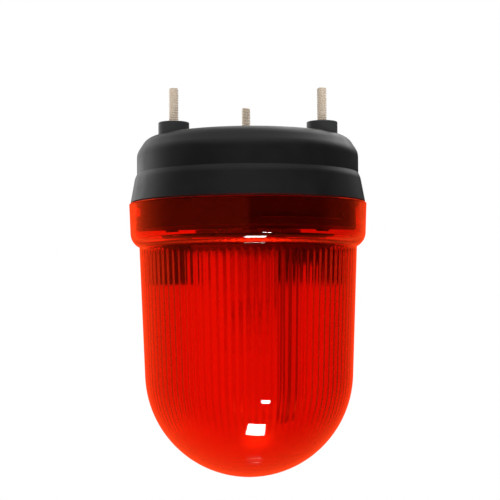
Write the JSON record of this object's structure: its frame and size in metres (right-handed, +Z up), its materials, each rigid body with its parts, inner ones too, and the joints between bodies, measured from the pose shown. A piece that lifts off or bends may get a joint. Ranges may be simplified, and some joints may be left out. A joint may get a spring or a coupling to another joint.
{
  "type": "rotating warning beacon",
  "caption": "Rotating warning beacon: red fluted dome lens on a stepped black base with threaded mounting studs, motor-driven reflector and bayonet lamp inside.",
  "frame": {"origin": "centre of the stud circle, in the plane of the boss faces that meet the mounting surface", "axes": "+Z up along the studs, out of the mounting face; the lens hangs towards -Z; -Y is the side the picture shows, with two studs in front"},
  "size_m": [0.1, 0.1, 0.1606],
  "materials": {
    "base_black": "semi-gloss black moulding",
    "stud_steel": "plated threaded steel",
    "rubber_black": "soft black rubber",
    "chassis_black": "matt black moulding",
    "zinc_steel": "zinc plated",
    "motor_steel": "dark drawn can",
    "nylon_white": "natural nylon",
    "brass": "bright brass",
    "sleeve_steel": "ground steel",
    "nickel": "nickel plated",
    "phenolic": "brown moulded insulator",
    "clear_glass": "clear glass",
    "filament": "tungsten wire",
    "lead_red": "red insulation",
    "lead_black": "black insulation",
    "weight_black": "black painted steel",
    "black_screw": "blackened steel",
    "reflector_bright": "bright polished sheet",
    "lens_red": "clear red moulding, fluted inside"
  },
  "bodies": {
    "base": {"base_housing": "base_black", "mounting_studs": "stud_steel", "cable_grommet": "rubber_black", "lens_seal": "rubber_black", "chassis": "chassis_black", "chassis_screws": "black_screw", "motor_can": "motor_steel", "motor_end_cap": "nylon_white", "motor_terminals": "brass", "motor_screws": "zinc_steel", "terminal_block": "nylon_white", "terminal_screws": "brass", "bearing_sleeve": "sleeve_steel", "thrust_washer": "brass", "retaining_clip": "zinc_steel", "lamp_socket": "nickel", "socket_insulator": "phenolic", "contact_pin": "brass", "bulb_cap": "brass", "bulb_glass": "clear_glass", "bulb_filament": "filament", "lamp_lead_live": "lead_red", "lamp_lead_return": "lead_black", "motor_lead_live": "lead_red", "motor_lead_return": "lead_black"},
    "rotor": {"turntable_gear": "nylon_white", "turntable_bush": "brass", "reflector_carrier": "chassis_black", "carrier_screws": "zinc_steel", "counterweight": "weight_black", "counterweight_screws": "zinc_steel", "reflector": "reflector_bright", "reflector_screws": "zinc_steel"},
    "motor_spindle": {"motor_shaft": "sleeve_steel", "motor_pinion": "brass"},
    "lens": {"lens": "lens_red"}
  },
  "joints": [
    {"name": "rotor_spin", "type": "hinge", "parent": "base", "child": "rotor", "pos_m": [0, 0, -0.05], "axis": [0, 0, 1], "continuous": true},
    {"name": "motor_spin", "type": "hinge", "parent": "base", "child": "motor_spindle", "pos_m": [0, 0.027, -0.05], "axis": [0, 0, 1], "continuous": true},
    {"name": "lens_twist", "type": "hinge", "parent": "base", "child": "lens", "pos_m": [0, 0, -0.05], "axis": [0, 0, -1], "range_deg": [0, 60]}
  ],
  "couplings": [
    {"joint": "motor_spin", "follows": "rotor_spin", "ratio": -4}
  ]
}
